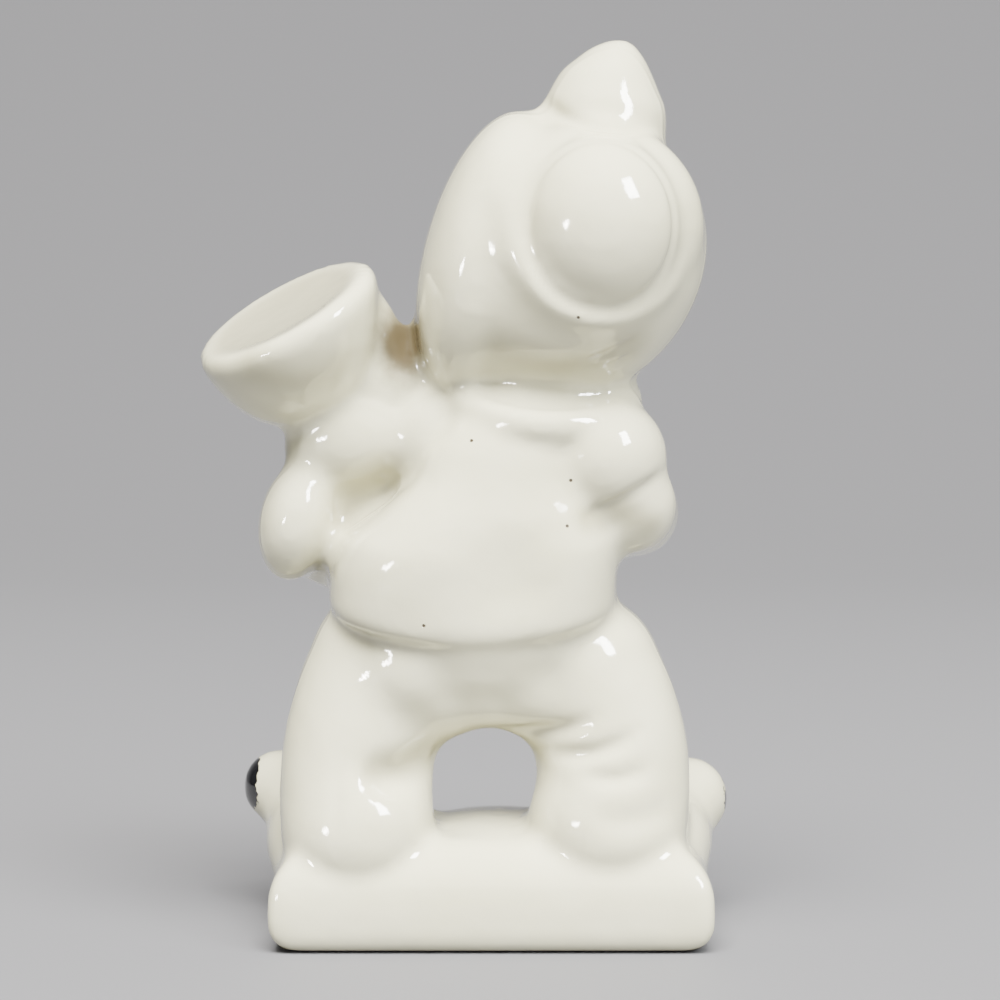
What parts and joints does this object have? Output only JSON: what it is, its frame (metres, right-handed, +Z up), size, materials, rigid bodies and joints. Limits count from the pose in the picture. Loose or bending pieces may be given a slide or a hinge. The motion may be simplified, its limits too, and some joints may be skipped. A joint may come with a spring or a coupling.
{
  "type": "ceramic musician figurine",
  "caption": "Small glazed porcelain figurine of a chubby musician in a pointed cap holding a bass horn over the left shoulder, on a rounded slab base.",
  "frame": {"origin": "centre of the slab's flat underside", "axes": "+Z up, the musician faces -Y, +X is the musician's left, where the horn's bell is"},
  "size_m": [0.0447, 0.0262, 0.0741],
  "materials": {
    "glaze": "clear glossy glaze over warm white porcelain, with black painted shoes"
  },
  "bodies": {
    "root": {"figurine": "glaze"}
  },
  "joints": []
}
